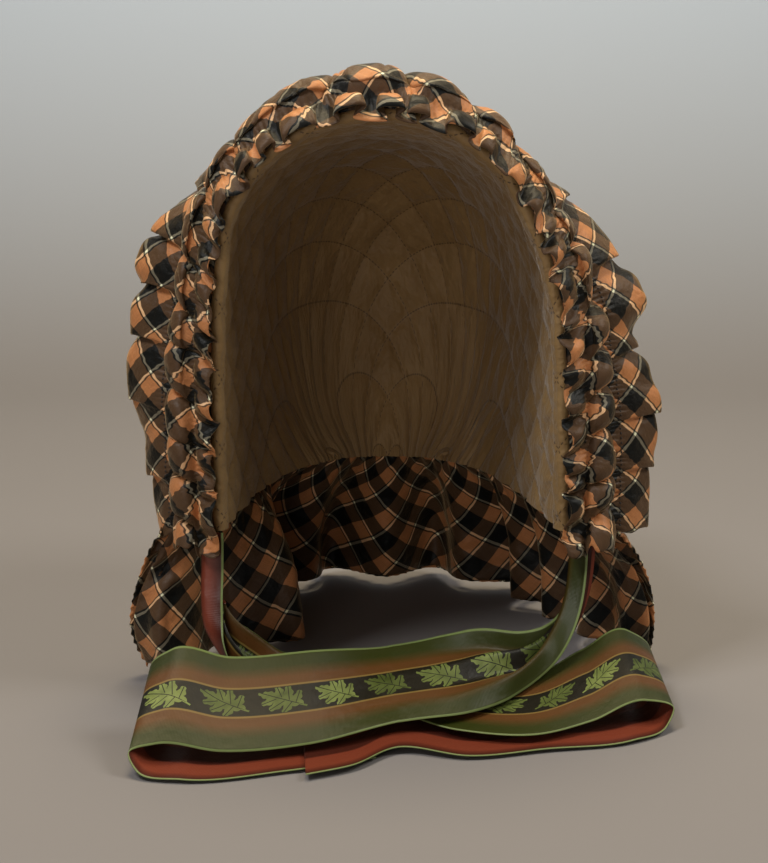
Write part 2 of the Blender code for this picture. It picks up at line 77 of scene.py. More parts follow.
RUCHE = (  # three of its rows lie on the brim's
    ("face edge", -0.005, -0.1240, 0.0165, -0.1165, 0.0900, 0.0945, 0.0905, 4.9, 0.0026, 0.0018, 0.0),
    ("inner stitches", *BRIM_OUTSIDE[1][1:], 0.0026, 0.0002, 0.0),
    ("puff side", -0.0065, -0.1030, 0.0292, -0.1073, 0.1033, 0.1083, 0.1070, 3.45, 0.0070, 0.0026, 0.0),
    ("puff top", *BRIM_OUTSIDE[2][1:], 0.0088, 0.0034, 0.0),
    ("puff side", -0.008, -0.0900, 0.0318, -0.1012, 0.1093, 0.1153, 0.1153, 2.65, 0.0070, 0.0026, 0.0),
    ("outer stitches", *BRIM_OUTSIDE[3][1:], 0.0042, 0.0006, 0.0),
    ("flounce", -0.010, -0.0700, 0.0325, -0.0910, 0.1180, 0.1300, 0.1345, 2.5, 0.0048, 0.0, 0.0060),
    ("flounce edge", -0.013, -0.0570, 0.0310, -0.0840, 0.1210, 0.1410, 0.1490, 2.6, 0.0030, 0.0, 0.0100),
)
HINGE_ROW = 5.0  # where in RUCHE the flounce begins to stand free
STITCHED = (5.06, 5.42)  # where in RUCHE the two rows of running stitches go
TOP = 0.49  # the share of the face edge that lies over the middle of the brow

# Gathers along the face edge: how many at the rate of the whole edge, and at the rate over the top
PUFFS = (21, 14.5)
RUFFLES = (34, 28)
PUCKERS = (205, 185)
# What makes them uneven: cycles along the edge, radians and phase of each wave
LOBE_DRIFT = ((3.0, 0.6, 0.6), (7.0, 0.7, 2.1), (11.0, 0.55, 4.0), (17.0, 0.30, 1.0))
FLOUNCE_LOBES = 17
PANEL_OPEN = 0.80  # the share of a flounce panel that opens, before its end turns under

REACH_COLUMNS = ("name", "at", "spread", "change")
REACH = (
    ("left side, full", 0.125, 0.035, 0.42),
    ("left side, a little full", 0.180, 0.020, 0.12),
    ("left side, out above", 0.236, 0.012, 0.14),
    ("left shoulder, tucked behind", 0.345, 0.075, -0.66),
    ("right shoulder, tucked behind", 0.630, 0.065, -0.60),
    ("right side, out above", 0.795, 0.016, 0.20),
    ("right side, drawn in", 0.836, 0.020, -0.26),
    ("right side, full", 0.905, 0.025, 0.12),
)

SEAM = (  # x and y along the left half of the neck seam, from its front corner to the middle of the back
    (-0.1160, -0.0985), (-0.1065, -0.0820), (-0.0985, -0.0640), (-0.0905, -0.0420),
    (-0.0835, -0.0200), (-0.0750, 0.0100), (-0.0640, 0.0360), (-0.0520, 0.0560),
    (-0.0380, 0.0710), (-0.0200, 0.0800), (0.0000, 0.0815),
)
HEM_COLUMNS = ("name", "share", "x", "y", "belly")
HEM = (
    ("left front corner", 0.000, -0.136, -0.083, 0.008),
    ("left front crest", 0.050, -0.120, -0.092, 0.007),
    ("left front side", 0.095, -0.107, -0.078, 0.004),
    ("left front valley", 0.135, -0.100, -0.050, 0.0),
    ("left flap front", 0.175, -0.080, -0.046, 0.002),
    ("left flap crest", 0.220, -0.051, -0.038, 0.002),
    ("left flap back", 0.265, -0.060, -0.008, 0.0),
    ("left side valley", 0.310, -0.100, 0.010, 0.0),
    ("left side crest", 0.350, -0.084, 0.042, 0.0),
    ("left back valley", 0.390, -0.098, 0.078, 0.004),
    ("left back crest", 0.430, -0.052, 0.084, 0.0),
    ("back valley", 0.470, -0.036, 0.116, 0.004),
    ("back crest", 0.505, -0.002, 0.094, 0.0),
    ("right back valley", 0.545, 0.030, 0.118, 0.004),
    ("right back crest", 0.585, 0.048, 0.086, 0.0),
    ("right side valley", 0.630, 0.090, 0.080, 0.004),
    ("right side crest", 0.675, 0.079, 0.046, 0.0),
    ("right side valley", 0.720, 0.107, 0.030, 0.0),
    ("right flap crest", 0.765, 0.094, 0.006, 0.0),
    ("right flap valley", 0.815, 0.119, -0.006, 0.0),
    ("right front crest", 0.865, 0.113, -0.030, 0.002),
    ("right front valley", 0.910, 0.128, -0.042, 0.003),
    ("right corner crest", 0.955, 0.134, -0.062, 0.002),
    ("right front corner", 1.000, 0.148, -0.062, 0.002),
)
SEAM_LENGTH = 0.46  # of the neck seam, which the curtain is gathered onto
CURTAIN_RUCHE_WIDTH = 0.014
CURTAIN_RUCHE_LOBES = 62
CURTAIN_RUCHE_PAST = (0.006, 0.0015)  # past the front edges, past the hem

PLEAT_PANELS = 5
TIE_COLUMNS = ("name", "x", "y", "z", "lean", "turn", "pleat")
RIGHT_TIE = (
    ("under the corner", 0.1025, -0.1110, -0.2090, 0, 20, 0.84),
    ("hanging", 0.1020, -0.1130, -0.2240, 0, 20, 0.84),
    ("hanging", 0.0995, -0.1200, -0.2400, 0, 18, 0.84),
    ("hanging lower", 0.0930, -0.1320, -0.2550, 6, 14, 0.80),
    ("turning forward", 0.0845, -0.1430, -0.2660, 14, 6, 0.70),
    ("opening out", 0.0745, -0.1540, -0.2730, 18, -4, 0.50),
    ("over the left tie", 0.0630, -0.1670, -0.2775, 24, -14, 0.24),
    ("over the left tie", 0.0430, -0.1790, -0.2815, 24, -10, 0.05),
    ("across the front", 0.0060, -0.1880, -0.2845, 22, -6, 0.0),
    ("across the front", -0.0400, -0.2110, -0.2880, 33, 0, 0.0),
    ("before the loop", -0.0830, -0.2210, -0.2880, 33, 2, 0.0),
    ("loop top", -0.1150, -0.2240, -0.2830, 33, 4, 0.0),
    ("loop end", -0.1275, -0.2290, -0.2855, 24, 5, 0.0),
    ("loop bottom", -0.1225, -0.2370, -0.2925, 8, 5, 0.0),
    ("lower layer", -0.1000, -0.2430, -0.2942, 1, 4, 0.0),
    ("lower layer", -0.0500, -0.2310, -0.2945, 0, 2, 0.0),
    ("cut end", -0.0060, -0.2130, -0.2945, 0, 0, 0.0),
)
LEFT_TIE = (
    ("under the corner", -0.0945, -0.1120, -0.2090, 0, -8, 0.86),
    ("hanging", -0.0945, -0.1150, -0.2260, 0, -8, 0.87),
    ("hanging lower", -0.0945, -0.1230, -0.2420, 8, -4, 0.84),
    ("turning in", -0.0920, -0.1330, -0.2600, 36, 0, 0.64),
    ("opening out", -0.0800, -0.1430, -0.2780, 37, 2, 0.42),
    ("behind the right tie", -0.0600, -0.1500, -0.2870, 18, 0, 0.20),
    ("behind the right tie", -0.0340, -0.1560, -0.2890, 10, 0, 0.04),
    ("behind the right tie", -0.0040, -0.1600, -0.2880, 10, 0, 0.0),
    ("under the right tie", 0.0360, -0.1880, -0.2890, 8, 4, 0.0),
    ("across to the right", 0.0740, -0.1950, -0.2890, 12, 4, 0.0),
    ("before the loop", 0.1050, -0.1780, -0.2880, 20, 0, 0.0),
    ("loop top", 0.1350, -0.1660, -0.2810, 20, -4, 0.0),
    ("loop end", 0.1490, -0.1670, -0.2845, 12, -5, 0.0),
    ("loop bottom", 0.1450, -0.1740, -0.2920, 4, -5, 0.0),
    ("lower layer", 0.1250, -0.1900, -0.2942, 0, -4, 0.0),
    ("lower layer", 0.0800, -0.2020, -0.2942, 0, 0, 0.0),
    ("lower layer", 0.0400, -0.2120, -0.2940, 0, 2, 0.0),
    ("raised a little", 0.0060, -0.2040, -0.2924, 2, 2, 0.0),
    ("over the lower layer", -0.0180, -0.2280, -0.2928, 0, 0, 0.0),
    ("cut end", -0.0400, -0.2400, -0.2928, 0, -4, 0.0),
)

# Sizes of the finer forms

SILK_WALL = 0.0006
RIBBON_WALL = 0.0004
QUILT_PITCH = 0.027  # between the quilted lines, which cross on the bias
QUILT_DEPTH = 0.0024
QUILT_SHOULDER = 0.0055  # how far from a stitched line the relief rises
LINING_DEPTH = 0.0030
LINING_STITCHES = 0.012  # from the face edge to the lining's row of stitches
EDGE_ROLL = 0.0032  # the radius of the lining's rolled edge at the face
PLAID_REPEAT = 0.0220
LEAF_PITCH = 0.030
RIB_PITCH = 0.0007  # between the ribbon's woven ribs
FLOOR_GAP = 0.0012  # between the ties and the floor

# Colours of plaid and ribbons as the display shows them, which DISPLAY_GAMMA turns into light

DISPLAY_GAMMA = 2.2
CREAM = (1.12, 1.02, 0.84)  # over 1, because it is mixed with what it crosses, and the mix stays within 1
ORANGE = (0.76, 0.51, 0.33)
BLACK = (0.075, 0.088, 0.09)
SEWN = (0.04, 0.035, 0.03)
SELVAGE = (0.46, 0.52, 0.32)
OLIVE = (0.205, 0.225, 0.09)
BRONZE = (0.37, 0.245, 0.125)
YELLOW = (0.50, 0.41, 0.22)
BAND = (0.12, 0.11, 0.075)
LEAF_DARK = (0.25, 0.29, 0.13)
LEAF_LIGHT = (0.50, 0.55, 0.30)
RUST = (0.46, 0.22, 0.155)
MAROON = (0.26, 0.12, 0.09)

# Colours of the sheen, the other silks and the paper, as light

GOLD_SHEEN = (1.0, 0.72, 0.38)
LINING_DARK = (0.26, 0.155, 0.055)
LINING_LIGHT = (0.37, 0.235, 0.095)
LINING_SEWN = (0.10, 0.055, 0.02)
THREAD_DARK = (0.012, 0.010, 0.009)
THREAD_LIGHT = (0.035, 0.026, 0.020)
# Painted shade and painted light on the one sheet of paper: darker and warmer on the floor, lighter and
# bluer up the backdrop
FLOOR = (0.235, 0.22, 0.218)
BACKDROP = (0.56, 0.64, 0.76)

# The ribbon's leaf, with lobes on both sides of its midrib, and its stem's two ends

LEAF_TILT = math.radians(24)
LEAF_STEM = (-0.0135, -0.007)
LEAF_LOBES = (  # name, along, beside, half length, half width, degrees
    ("blade", 0.0000, 0.0000, 0.0100, 0.0040, 0),
    ("tip", 0.0096, 0.0000, 0.0040, 0.0027, 0),
    ("fore lobe", 0.0058, 0.0036, 0.0040, 0.0023, 44),
    ("middle lobe", 0.0008, 0.0044, 0.0046, 0.0026, 58),
    ("back lobe", -0.0050, 0.0038, 0.0040, 0.0024, 80),
)

# The photograph's frame, in pixels

PICTURE_HEIGHT = 863
PICTURE_LENS = 2000
PICTURE_SHIFT = -4


# Helpers for points


def column(rows, names, name):
    """One named column of a table."""
    return np.array([row[names.index(name)] for row in rows], float)


def unit(vectors):
    """The same vectors with length 1."""
    return vectors / np.maximum(np.linalg.norm(vectors, axis=-1, keepdims=True), 1e-12)


def capped(values):
    """The same values, held from 0 to 1."""
    return np.clip(values, 0, 1)


def level(vectors):
    """The same directions turned to the horizontal."""
    return unit(vectors * np.array([1.0, 1.0, 0.0]))


def smooth(keys, values, at):
    """A smooth curve through the values at the keys, read at the places in at."""
    keys, values, at = (np.asarray(x, float) for x in (keys, values, at))
    slope = np.gradient(values, keys, axis=0)
    i = np.clip(np.searchsorted(keys, at, side="right") - 1, 0, len(keys) - 2)
    step = keys[i + 1] - keys[i]
    t = capped((at - keys[i]) / step)
    if values.ndim == 2:
        t, step = t[:, None], step[:, None]
    rise = (2 * t**3 - 3 * t**2 + 1) * values[i] + (3 * t**2 - 2 * t**3) * values[i + 1]
    return rise + step * ((t**3 - 2 * t**2 + t) * slope[i] + (t**3 - t**2) * slope[i + 1])


def length_along(points):
    """How far along an open line each of its points is."""
    return np.concatenate([[0], np.cumsum(np.linalg.norm(np.diff(points, axis=0), axis=1))])


def read_line(at, run, points):
    """The points at distances along a line, from its own points and how far along each is."""
    return np.stack([np.interp(at, run, points[:, axis]) for axis in range(3)], axis=1)


def evenly(points, count):
    """The same open line with count points, evenly apart."""
    run = length_along(points)
    return read_line(np.linspace(0, run[-1], count), run, points)


def noise(u, v, seed):
    """Smooth noise from -1 to 1, with about one bump to each unit of u and v."""
    cells = 97
    table = np.random.default_rng(seed).uniform(-1, 1, (cells, cells))
    u, v = np.broadcast_arrays(np.asarray(u, float), np.asarray(v, float))
    i, j = np.floor(u).astype(int), np.floor(v).astype(int)
    s, t = u - i, v - j
    s, t = s * s * (3 - 2 * s), t * t * (3 - 2 * t)
    here, after, below, beyond = i % cells, (i + 1) % cells, j % cells, (j + 1) % cells
    low = table[here, below] * (1 - s) + table[after, below] * s
    high = table[here, beyond] * (1 - s) + table[after, beyond] * s
    return low * (1 - t) + high * t


def arch(apex_x, apex_y, apex_z, foot_y, foot_left, foot_right, half, square):
    """One arch from the left foot over the apex to the right foot, as a fine line of points."""
    angle = np.linspace(math.pi, 0, 1441)
    rise = np.abs(np.sin(angle)) ** (2 / square)
    foot = np.where(angle > math.pi / 2, foot_left, foot_right)
    sway = apex_x * capped((rise - 0.4) / 0.35) ** 2
    across = (half + (foot - half) * (1 - rise) ** 2) * np.cos(angle) + sway
    return np.stack([across, foot_y + (apex_y - foot_y) * rise, NECK_Z + (apex_z - NECK_Z) * rise], axis=1)


def arches(rows, places, columns):
    """The arches of a table at the places along it, as a grid of points."""
    sizes = np.array([row[1 : len(ARCH_COLUMNS)] for row in rows], float)
    at = smooth(np.arange(len(rows)), sizes, places)
    return np.array([evenly(arch(*here), columns) for here in at])


def outwards(grid):
    """The unit normal at each point of a grid, on the side away from the hollow."""
    normal = unit(np.cross(np.gradient(grid, axis=1), np.gradient(grid, axis=0)))
    middle = np.array([0.0, -0.01, -0.11])
    return normal * np.sign(((grid - middle) * normal).sum())


def outwards_level(grid):
    """The same normals, but level along both feet and the last row, where the neck seam is."""
    away = outwards(grid)
    away[:, [0, -1]] = level(away[:, [0, -1]])
    away[-1] = level(away[-1])
    return away


def on_seam(grid):
    """The same grid with its feet on the neck seam, and nothing below it."""
    grid = grid.copy()
    grid[:, :, 2] = np.maximum(grid[:, :, 2], NECK_Z)
    grid[:, [0, -1], 2] = NECK_Z
    return grid


# Helpers for cloth


def flat_plan(grid, anchor=0, gathered=False):
    """Where each point of a grid of cloth lies when flat: along its rows, and across from the anchor row.

    Gathered cloth has one length in all its rows. Other cloth is cut to shape on both sides of its middle.
    """
    steps = np.linalg.norm(np.diff(grid, axis=1), axis=2)
    along = np.hstack([np.zeros((len(grid), 1)), np.cumsum(steps, axis=1)])
    whole = along[:, -1:]
    if gathered:
        around = 12
        reach = np.linspace(0, 1, along.shape[1])
        drift = np.pad((along / whole).mean(axis=0) - reach, around, mode="edge")
        window = np.ones(2 * around + 1) / (2 * around + 1)
        along = along * 0 + whole.mean() * (reach + np.convolve(drift, window, mode="valid"))
    else:
        along = (along / whole - 0.5) * np.sqrt(whole * whole.max())
    steps = np.linalg.norm(np.diff(grid, axis=0), axis=2)
    across = np.vstack([np.zeros((1, grid.shape[1])), np.cumsum(steps, axis=0)])
    return np.stack([along, across - across[anchor]], axis=2)


def corners(shape):
    """The numbers of a grid's points, and its quads."""
    rows, columns = shape[:2]
    corner = np.arange(rows * columns).reshape(rows, columns)
    quads = np.stack([corner[:-1, :-1], corner[:-1, 1:], corner[1:, 1:], corner[1:, :-1]], axis=-1)
    return corner, quads.reshape(-1, 4)


def placed(made):
    """The same object, put in the scene."""
    bpy.context.scene.collection.objects.link(made)
    return made


def surface(name, points, quads, plan, looks):
    """A smooth mesh with its flat plan as its UVs, in metres."""
    mesh = bpy.data.meshes.new(name)
    mesh.from_pydata(points.reshape(-1, 3).tolist(), [], quads.tolist())
    uvs = plan.reshape(-1, 2)[quads.ravel()]
    mesh.uv_layers.new(name="flat").data.foreach_set("uv", uvs.ravel())
    for look in looks:
        mesh.materials.append(look)
    mesh.shade_smooth()
    return placed(bpy.data.objects.new(name, mesh))


def cloth(name, grid, plan, looks, wall=0.0, turned=False):
    """A sheet of cloth through a grid of points, with a second look for its reverse if there is one."""
    quads = corners(grid.shape)[1]
    made = surface(name, grid, quads[:, ::-1] if turned else quads, plan, looks)
    if wall:
        thick = made.modifiers.new("cloth", "SOLIDIFY")
        thick.thickness = wall
        thick.offset = -1.0
        thick.use_even_offset = False
        thick.material_offset = 1 if len(looks) > 1 else 0
    return made


def padded_body(name, outside, inside, plan, look):
    """A closed padded body between two grids of the same size."""
    corner, quads = corners(outside.shape)
    half = corner.size
    ring = np.concatenate([corner[0], corner[1:, -1], corner[-1, -2::-1], corner[-2:0:-1, 0]])
    after = np.roll(ring, -1)
    rim = np.stack([after, ring, half + ring, half + after], axis=1)
    quads = np.concatenate([quads, half + quads[:, ::-1], rim])
    return surface(name, np.concatenate([outside, inside]), quads, np.concatenate([plan, plan]), (look,))


def quilted(plan):
    """The relief of crossed quilting over a flat plan, from 0 in the stitched lines to 1 between them."""
    u, v = plan[..., 0], plan[..., 1]
    nearest = np.full(u.shape, 1.0)
    for along in (u + v, u - v):
        turns = along / math.sqrt(2) / QUILT_PITCH
        nearest = np.minimum(nearest, np.abs(turns - np.round(turns)) * QUILT_PITCH)
    return 1 - np.exp(-nearest / QUILT_SHOULDER)


def dressed(piece, node):
    """The piece rides on the hood and stands for its CAD node, which is hidden."""
    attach(piece, "root")
    if node:
        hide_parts(node)
    return piece


# Materials


def add(kind, inputs, **settings):
    """A shader node with its settings and inputs, in the tree of the sockets that it takes."""
    tree = next(value.id_data for value in inputs.values() if isinstance(value, bpy.types.NodeSocket))
    made = tree.nodes.new("ShaderNode" + kind)
    for key, value in settings.items():
        setattr(made, key, value)
    for key, value in inputs.items():
        if isinstance(value, bpy.types.NodeSocket):
            tree.links.new(value, made.inputs[key])
        else:
            made.inputs[key].default_value = value
    return made


def maths(operation, a, b=0.0, c=0.0):
    """The result of one Math node."""
    return add("Math", {0: a, 1: b, 2: c}, operation=operation).outputs[0]


def plus(a, b):
    """The sum of two values."""
    return maths("ADD", a, b)


def minus(a, b):
    """The difference of two values."""
    return maths("SUBTRACT", a, b)


def times(a, b):
    """The product of two values."""
    return maths("MULTIPLY", a, b)


def mixed(share, first, second, blend="MIX"):
    """One colour mixed with another by a share."""
    settings = {"data_type": "RGBA", "blend_type": blend, "clamp_result": True}
    return add("Mix", {0: share, 6: first, 7: second}, **settings).outputs[2]


def stepped(value, stops, smooth_steps=False):
    """A colour for the value, from stops of (place, colour)."""
    ramp = add("ValToRGB", {0: value})
    ramp.color_ramp.interpolation = "LINEAR" if smooth_steps else "CONSTANT"
    elements = ramp.color_ramp.elements
    while len(elements) < len(stops):
        elements.new(1.0)
    for element, (place, colour) in zip(elements, stops):
        element.position = place
        element.color = (*colour, 1.0)
    return ramp.outputs[0]


def cloth_material(name, roughness, sheen, specular=0.5):
    """A material, its shader, its flat plan, and the plan's two coordinates."""
    made = bpy.data.materials.new(name)
    made.use_nodes = True
    tree = made.node_tree
    shader = tree.nodes["Principled BSDF"]
    shader.inputs["Roughness"].default_value = roughness
    shader.inputs["Sheen Weight"].default_value = sheen
    shader.inputs["Sheen Roughness"].default_value = 0.4
    shader.inputs["Specular IOR Level"].default_value = specular
    flat = tree.nodes.new("ShaderNodeUVMap")
    flat.uv_map = "flat"
    parts = add("SeparateXYZ", {0: flat.outputs[0]})
    return made, shader, flat.outputs[0], parts.outputs[0], parts.outputs[1]


def shades(where, scale, detail=2.0, roughness=0.5, kind="FBM"):
    """Noise over the flat plan, from 0 to 1 or, for the ridged kind, a little more."""
    inputs = {"Vector": where, "Scale": scale, "Detail": detail, "Roughness": roughness}
    return add("TexNoise", inputs, noise_type=kind).outputs[0]


def bumped(shader, heights):
    """Adds layers of bump to a shader, from (height, distance in metres) pairs."""
    before = None
    for height, distance in heights:
        inputs = {"Height": height, "Distance": distance, "Strength": 1.0}
        if before is not None:
            inputs["Normal"] = before
        before = add("Bump", inputs).outputs[0]
    shader.id_data.links.new(before, shader.inputs["Normal"])


def painted(shader, colour):
    """Gives a shader its colour."""
    shader.id_data.links.new(colour, shader.inputs["Base Color"])


def shown(shader, colour):
    """Gives a shader a colour as the display shows it."""
    painted(shader, add("Gamma", {0: colour, 1: DISPLAY_GAMMA}).outputs[0])


def diagonals(u, v):
    """The two distances across the bias, from those along and across the cloth."""
    half = math.sqrt(0.5)
    return times(plus(u, v), half), times(minus(u, v), half)


def sewn_lines(along, other):
    """1 in the dashes of the stitches along one set of quilting lines, and 0 elsewhere."""
    length, width, sewn_share = 0.0034, 0.00035, 0.55
    turns = maths("DIVIDE", along, QUILT_PITCH)
    off = maths("ABSOLUTE", minus(turns, maths("ROUND", turns)))
    on_line = maths("LESS_THAN", times(off, QUILT_PITCH), width)
    dash = maths("LESS_THAN", maths("FRACT", maths("DIVIDE", other, length)), sewn_share)
    return times(on_line, dash)


def sewn_quilting(u, v):
    """1 in the stitches of crossed quilting, and 0 elsewhere."""
    a, b = diagonals(u, v)
    return maths("MAXIMUM", sewn_lines(a, b), sewn_lines(b, a))


def thread_bands(along):
    """The colours of the plaid's threads at a distance across them."""
    place = maths("FRACT", maths("DIVIDE", along, PLAID_REPEAT))
    stops = ((0.0, CREAM), (0.06, BLACK), (0.54, ORANGE), (0.955, BLACK))
    return stepped(place, stops)


def slubs(warp, weft):
    """The uneven threads of the silk, as noise drawn out along warp and weft."""
    lines = add("CombineXYZ", {0: times(warp, 30.0), 1: weft}).outputs[0]
    cross = add("CombineXYZ", {0: warp, 1: times(weft, 30.0)}).outputs[0]
    return plus(shades(lines, 90.0), shades(cross, 90.0))


def plaid_silk(name, quilted_too=False):
    """Plaid taffeta on the bias, of cream, black and orange threads, with stitches if it is quilted."""
    made, shader, flat, u, v = cloth_material(name, 0.42, 0.35, 0.22)
    shader.inputs["Sheen Tint"].default_value = (*GOLD_SHEEN, 1.0)
    wander = times(minus(shades(flat, 22.0), 0.5), 0.004)
    warp, weft = (plus(across, wander) for across in diagonals(u, v))
    bands = thread_bands(warp), thread_bands(weft)
    shaded = add("Gamma", {0: mixed(1.0, *bands, "MULTIPLY"), 1: 0.5}).outputs[0]
    silk = mixed(0.4, mixed(0.5, *bands), shaded)
    tone = plus(times(slubs(warp, weft), 0.22), 0.78)
    worn = plus(times(shades(flat, 14.0), 0.16), 0.92)
    tone = times(tone, worn)
    grey = add("CombineColor", {0: tone, 1: tone, 2: tone}).outputs[0]
    silk = mixed(1.0, silk, grey, "MULTIPLY")
    if quilted_too:
        silk = mixed(sewn_quilting(u, v), silk, (*SEWN, 1.0))
    shown(shader, silk)
    creases = shades(flat, 75.0, 3.0, kind="RIDGED_MULTIFRACTAL")
    crush = shades(flat, 210.0, 3.0)
    weave = shades(flat, 2600.0, 1.0)
    bumped(shader, ((creases, 0.0009), (crush, 0.0008), (weave, 0.00012)))
    return made


def gold_lining(name):
    """Golden tan silk with crossed quilting, faded and a little soiled."""
    made, shader, flat, u, v = cloth_material(name, 0.55, 0.3)
    stain = shades(flat, 18.0, 4.0, 0.6)
    silk = stepped(stain, ((0.3, LINING_DARK), (0.7, LINING_LIGHT)), True)
    silk = mixed(sewn_quilting(u, v), silk, (*LINING_SEWN, 1.0))
    painted(shader, silk)
    crush = shades(flat, 230.0, 3.0)
    weave = shades(flat, 2400.0, 1.0)
    bumped(shader, ((crush, 0.0012), (weave, 0.00012)))
    return made


def leaf_lobe(along, beside, lobe):
    """How far inside one notched lobe a place is, over 0 in it, and 1 on its vein."""
    there, aside, half_length, half_width, degrees = lobe[1:]
    sine, cosine = math.sin(math.radians(degrees)), math.cos(math.radians(degrees))
    a, b = minus(along, there), minus(beside, aside)
    p = maths("MULTIPLY_ADD", b, sine, times(a, cosine))
    q = maths("MULTIPLY_ADD", a, -sine, times(b, cosine))
    p, off = maths("DIVIDE", p, half_length), maths("DIVIDE", q, half_width)
    notch = times(maths("COSINE", times(p, 7.0)), 0.22)
    far = maths("MULTIPLY_ADD", p, p, times(off, off))
    within = minus(plus(0.85, notch), far)
    vein = maths("LESS_THAN", maths("ABSOLUTE", q), 0.00024)
    return within, times(vein, maths("GREATER_THAN", within, 0.1))


def leaf_figure(u, v):
    """The leaves of the dark band: 1 in a leaf and its stem, 1 in its veins, and which leaf it is."""
    turns = maths("DIVIDE", u, LEAF_PITCH)
    x = times(minus(maths("FRACT", turns), 0.5), LEAF_PITCH)
    y = minus(v, RIBBON_WIDTH / 2)
    sine, cosine = math.sin(LEAF_TILT), math.cos(LEAF_TILT)
    along = maths("MULTIPLY_ADD", y, sine, times(x, cosine))
    beside = maths("MULTIPLY_ADD", y, cosine, times(x, -sine))
    staggered = maths("MULTIPLY_ADD", maths("SIGN", beside), 0.0011, along)
    beside = maths("ABSOLUTE", beside)
    leaf, veins = 0.0, 0.0
    for lobe in LEAF_LOBES:
        within, vein = leaf_lobe(staggered, beside, lobe)
        leaf = maths("MAXIMUM", leaf, maths("GREATER_THAN", within, 0.0))
        veins = maths("MAXIMUM", veins, vein)
    stem = maths("LESS_THAN", beside, 0.0005)
    stem = times(stem, maths("GREATER_THAN", along, LEAF_STEM[0]))
    stem = times(stem, maths("LESS_THAN", along, LEAF_STEM[1]))
    return maths("MAXIMUM", leaf, stem), veins, maths("FLOOR", turns)


def satin(name):
    """A ribbed satin, its flat plan, and the share of its width from its nearer edge to a place."""
    made, shader, flat, u, v = cloth_material(name, 0.42, 0.0, 0.3)
    share = maths("DIVIDE", v, RIBBON_WIDTH)
    from_edge = minus(0.5, maths("ABSOLUTE", minus(share, 0.5)))
    ribs = maths("SINE", times(u, 2 * math.pi / RIB_PITCH))
    bumped(shader, ((shades(flat, 150.0), 0.0004), (ribs, 0.00002)))
    return made, shader, flat, u, v, from_edge


def ribbon_face(name):
    """Green and bronze shaded satin with a near-black band of leaves between two yellow lines."""
    made, shader, flat, u, v, from_edge = satin(name)
    shader.inputs["Anisotropic"].default_value = 0.4
    green_edge = ((0.0, SELVAGE), (0.018, SELVAGE), (0.026, OLIVE), (0.13, OLIVE), (0.26, BRONZE))
    line = ((0.336, BRONZE), (0.342, YELLOW), (0.356, YELLOW), (0.362, BAND))
    silk = stepped(from_edge, green_edge + line, True)
    leaf, veins, number = leaf_figure(u, v)
    inside = maths("GREATER_THAN", from_edge, 0.366)
    # painted sheen: the leaves are lighter and darker in turn, and patchy, as if sheen catches some of them
    lit = maths("MULTIPLY_ADD", maths("SINE", times(number, 2.3)), 0.3, 0.5)
    lit = plus(lit, minus(shades(flat, 130.0), 0.5))
    green = mixed(lit, (*LEAF_DARK, 1.0), (*LEAF_LIGHT, 1.0))
    silk = mixed(times(leaf, inside), silk, green)
    silk = mixed(times(veins, inside), silk, (*BAND, 1.0))
    shown(shader, silk)
    return made


def ribbon_reverse(name):
    """The ribbon's red-brown reverse with its yellow-green selvages."""
    made, shader, *_, from_edge = satin(name)
    stops = ((0.0, SELVAGE), (0.018, SELVAGE), (0.026, MAROON), (0.13, RUST), (0.33, RUST), (0.36, MAROON))
    silk = stepped(from_edge, stops, True)
    shown(shader, silk)
    return made


def thread(name):
    """Dark sewing silk."""
    made, shader, flat, *_ = cloth_material(name, 0.6, 0.2)
    silk = stepped(shades(flat, 900.0), ((0.3, THREAD_DARK), (0.7, THREAD_LIGHT)), True)
    painted(shader, silk)
    return made


# The padded body and its lining


def brim(look):
    """The padded front of the hood, quilted behind the soft roll."""
    columns, rows = 360, 80
    places = np.linspace(0, len(BRIM_OUTSIDE) - 1, rows)
    outside = arches(BRIM_OUTSIDE, places, columns)
    inside = arches(HOLLOW, np.linspace(0, SEAM_ROW, rows), columns)
    plan = flat_plan(outside, rows - 1)
    relief = quilted(plan)
    shown = capped((places - 3.6) / 0.8)[:, None]
    at_seam = capped((len(BRIM_OUTSIDE) - 1 - places) / 0.10)[:, None]
    height = QUILT_DEPTH * (relief * np.sqrt(at_seam) - 0.75) * shown
    height += 0.0004 * noise(plan[..., 0] / 0.006, plan[..., 1] / 0.011, 5) * shown
    outside = on_seam(outside + outwards(outside) * height[:, :, None])
    inside = on_seam(inside)
    inside[-1, :, 1] -= SEAM_GAP
    outside[-1, :, 1] -= SEAM_GAP
    piece = padded_body("brim_padded", outside, inside, plan, look)
    dressed(piece, "brim")


def crown(look):
    """The padded back of the hood, quilted on the bias."""
    columns, rows = 300, 120
    inside = arches(HOLLOW, np.linspace(SEAM_ROW, len(HOLLOW) - 1, rows), columns)
    away = outwards_level(inside)
    plan = flat_plan(inside)
    relief = quilted(plan)
    from_seam = np.minimum(plan[..., 1], plan[-1:, :, 1] - plan[..., 1])
    tucked = np.sqrt(capped(from_seam / 0.004))
    height = PADDING + QUILT_DEPTH * (relief * tucked - 0.8)
    height += 0.0004 * noise(plan[..., 0] / 0.006, plan[..., 1] / 0.006, 6)
    outside = inside + away * height[:, :, None]
    piece = padded_body("crown_padded", on_seam(outside), on_seam(inside), plan, look)
    dressed(piece, "crown")


